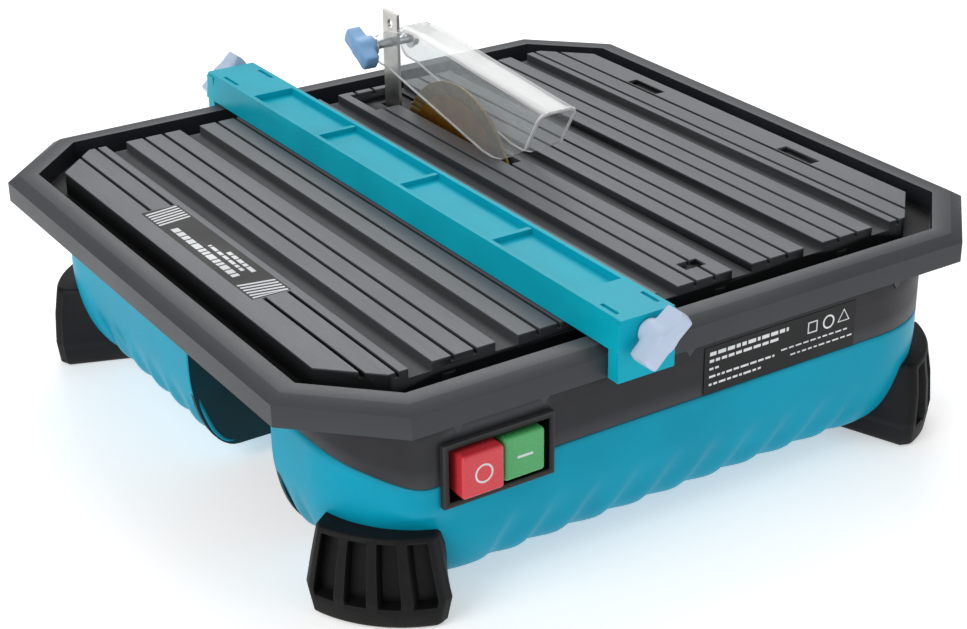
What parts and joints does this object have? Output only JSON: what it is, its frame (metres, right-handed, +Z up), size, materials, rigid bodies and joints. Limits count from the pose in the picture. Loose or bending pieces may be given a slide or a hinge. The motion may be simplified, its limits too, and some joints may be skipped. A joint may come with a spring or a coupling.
{
  "type": "tile cutter",
  "caption": "Bench-top wet tile cutter: ribbed plastic table with a sliding clamp fence, diamond blade under a clear pivoting guard, battery-driven motor and corner feet.",
  "frame": {"origin": "middle of the object's footprint, on the surface it stands on", "axes": "+X to the right along the front, +Y to the back along the fence, +Z up"},
  "size_m": [0.4, 0.4294, 0.1625],
  "materials": {
    "table_plastic": "fine moulded grain, satin on the rib tops",
    "badge_film": "printed film",
    "dark_housing": "fine moulded grain",
    "teal_housing": "moulded, satin gloss",
    "zinc_steel": "zinc plated",
    "foot_rubber": "moulded, matt",
    "fence_plastic": "moulded, satin gloss",
    "brass_insert": "turned",
    "pale_knob": "moulded, satin gloss",
    "blue_knob": "moulded, satin gloss",
    "knife_steel": "ground",
    "clear_guard": "clear polycarbonate, polished",
    "blade_coating": "bronze coloured coating with a sintered diamond rim",
    "machined_steel": "turned and ground",
    "motor_case": "phosphated steel",
    "copper": "turned copper",
    "black_plastic": "moulded, matt",
    "seal_rubber": "moulded",
    "tray_plastic": "moulded",
    "switch_body": "moulded",
    "red_plastic": "moulded",
    "green_plastic": "moulded",
    "contact_brass": "stamped and tinned",
    "board_laminate": "solder resist",
    "capacitor_sleeve": "sleeved",
    "sink_aluminium": "extruded",
    "wire_insulation": "extruded"
  },
  "bodies": {
    "housing": {"table_top": "table_plastic", "top_badge": "badge_film", "rating_plate": "badge_film", "upper_housing": "dark_housing", "lower_housing": "teal_housing", "housing_screws": "zinc_steel", "table_screws": "zinc_steel", "foot_screws": "zinc_steel", "knife_screws": "zinc_steel", "motor_screws": "zinc_steel", "guard_bolt": "zinc_steel", "guard_washers": "zinc_steel", "knife_bracket": "zinc_steel", "foot_front_left": "foot_rubber", "foot_front_right": "foot_rubber", "foot_back_left": "foot_rubber", "foot_back_right": "foot_rubber", "riving_knife": "knife_steel", "front_bearing": "machined_steel", "back_bearing": "machined_steel", "motor_can": "motor_case", "motor_front_plate": "motor_case", "motor_magnets": "motor_case", "motor_end_cap": "black_plastic", "brush_holders": "black_plastic", "motor_bracket": "black_plastic", "switch_frame": "black_plastic", "bay_interface": "black_plastic", "terminal_block": "black_plastic", "spindle_seal": "seal_rubber", "water_tray": "tray_plastic", "switch_module": "switch_body", "terminal_blades": "contact_brass", "control_board": "board_laminate", "board_capacitors": "capacitor_sleeve", "heat_sink": "sink_aluminium", "wire_harness": "wire_insulation"},
    "fence": {"rip_fence": "fence_plastic", "fence_jaws": "zinc_steel", "fence_nuts": "brass_insert"},
    "clamp_front": {"fence_knob_front": "pale_knob", "fence_screw_front": "zinc_steel"},
    "clamp_back": {"fence_knob_back": "pale_knob", "fence_screw_back": "zinc_steel"},
    "guard": {"blade_guard": "clear_guard"},
    "guard_knob": {"guard_knob": "blue_knob"},
    "blade": {"blade": "blade_coating", "inner_flange": "machined_steel", "outer_flange": "machined_steel", "arbor_nut": "machined_steel", "spindle": "machined_steel", "rotor_core": "motor_case", "commutator": "copper"},
    "stop_button": {"stop_button": "red_plastic"},
    "start_button": {"start_button": "green_plastic"},
    "drain_plug": {"drain_plug": "seal_rubber"}
  },
  "joints": [
    {"name": "fence_slide", "type": "slide", "parent": "housing", "child": "fence", "axis": [1, 0, 0], "range_m": [-0.095, 0.04]},
    {"name": "clamp_front_turn", "type": "hinge", "parent": "fence", "child": "clamp_front", "pos_m": [-0.0425, -0.19925, 0.119], "axis": [0, -1, 0], "range_deg": [0, 270]},
    {"name": "clamp_back_turn", "type": "hinge", "parent": "fence", "child": "clamp_back", "pos_m": [-0.0425, 0.19925, 0.119], "axis": [0, 1, 0], "range_deg": [0, 270]},
    {"name": "guard_pivot", "type": "hinge", "parent": "housing", "child": "guard", "pos_m": [0.0315, 0.139, 0.1445], "axis": [-1, 0, 0], "range_deg": [0, 55]},
    {"name": "guard_knob_turn", "type": "hinge", "parent": "housing", "child": "guard_knob", "pos_m": [0.0115, 0.139, 0.1445], "axis": [-1, 0, 0], "range_deg": [0, 180]},
    {"name": "blade_spin", "type": "hinge", "parent": "housing", "child": "blade", "pos_m": [0.0315, 0.0695, 0.081], "axis": [1, 0, 0], "continuous": true},
    {"name": "stop_press", "type": "slide", "parent": "housing", "child": "stop_button", "axis": [0, 1, 0], "range_m": [0, 0.003], "stiffness_N_per_m": 400, "springref_m": -0.002},
    {"name": "start_press", "type": "slide", "parent": "housing", "child": "start_button", "axis": [0, 1, 0], "range_m": [0, 0.003], "stiffness_N_per_m": 400, "springref_m": -0.002},
    {"name": "drain_pull", "type": "slide", "parent": "housing", "child": "drain_plug", "axis": [0, 0, -1], "range_m": [0, 0.0065]}
  ]
}
